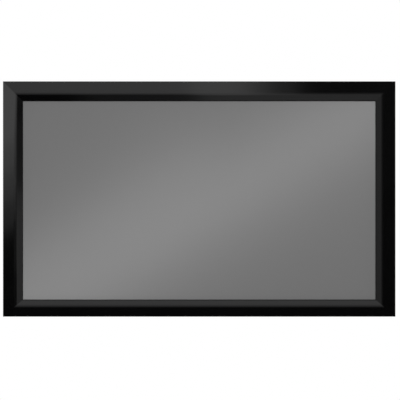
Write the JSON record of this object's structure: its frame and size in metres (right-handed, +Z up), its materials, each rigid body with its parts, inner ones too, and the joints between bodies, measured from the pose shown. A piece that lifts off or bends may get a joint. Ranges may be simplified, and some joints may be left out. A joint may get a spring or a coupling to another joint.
{
  "type": "fixed frame projector screen",
  "caption": "Wall-hung projection screen: grey film tensioned by springs behind a bevelled black aluminium frame with mitred corners.",
  "frame": {"origin": "middle of the box around the screen in X and Y, at the bottom edge of the frame", "axes": "+X to the viewer's right along the screen, +Z up, -Y towards the viewer and +Y towards the wall"},
  "size_m": [1.773, 0.043, 1.0631],
  "materials": {
    "frame": "satin black coating",
    "film": "matte grey projection face, black back",
    "rod": "drawn glass fibre",
    "spring": "bright drawn wire",
    "bracket": "zinc plated",
    "set_screw": "black oxide",
    "bar": "mill finish, anodised",
    "cap": "moulded"
  },
  "bodies": {
    "root": {"top_rail": "frame", "bottom_rail": "frame", "left_rail": "frame", "right_rail": "frame", "screen_film": "film", "top_tension_rod": "rod", "bottom_tension_rod": "rod", "left_tension_rod": "rod", "right_tension_rod": "rod", "top_spring_1": "spring", "top_spring_2": "spring", "top_spring_3": "spring", "top_spring_4": "spring", "top_spring_5": "spring", "top_spring_6": "spring", "top_spring_7": "spring", "top_spring_8": "spring", "bottom_spring_1": "spring", "bottom_spring_2": "spring", "bottom_spring_3": "spring", "bottom_spring_4": "spring", "bottom_spring_5": "spring", "bottom_spring_6": "spring", "bottom_spring_7": "spring", "bottom_spring_8": "spring", "left_spring_1": "spring", "left_spring_2": "spring", "left_spring_3": "spring", "left_spring_4": "spring", "right_spring_1": "spring", "right_spring_2": "spring", "right_spring_3": "spring", "right_spring_4": "spring", "top_left_corner_bracket": "bracket", "top_right_corner_bracket": "bracket", "bottom_left_corner_bracket": "bracket", "bottom_right_corner_bracket": "bracket", "top_set_screw_1": "set_screw", "top_set_screw_2": "set_screw", "top_set_screw_3": "set_screw", "top_set_screw_4": "set_screw", "bottom_set_screw_1": "set_screw", "bottom_set_screw_2": "set_screw", "bottom_set_screw_3": "set_screw", "bottom_set_screw_4": "set_screw", "left_set_screw_1": "set_screw", "left_set_screw_2": "set_screw", "left_set_screw_3": "set_screw", "left_set_screw_4": "set_screw", "right_set_screw_1": "set_screw", "right_set_screw_2": "set_screw", "right_set_screw_3": "set_screw", "right_set_screw_4": "set_screw", "support_bar": "bar", "support_bar_top_cap": "cap", "support_bar_bottom_cap": "cap", "top_left_wall_bracket": "bracket", "top_right_wall_bracket": "bracket", "bottom_left_wall_bracket": "bracket", "bottom_right_wall_bracket": "bracket"}
  },
  "joints": []
}
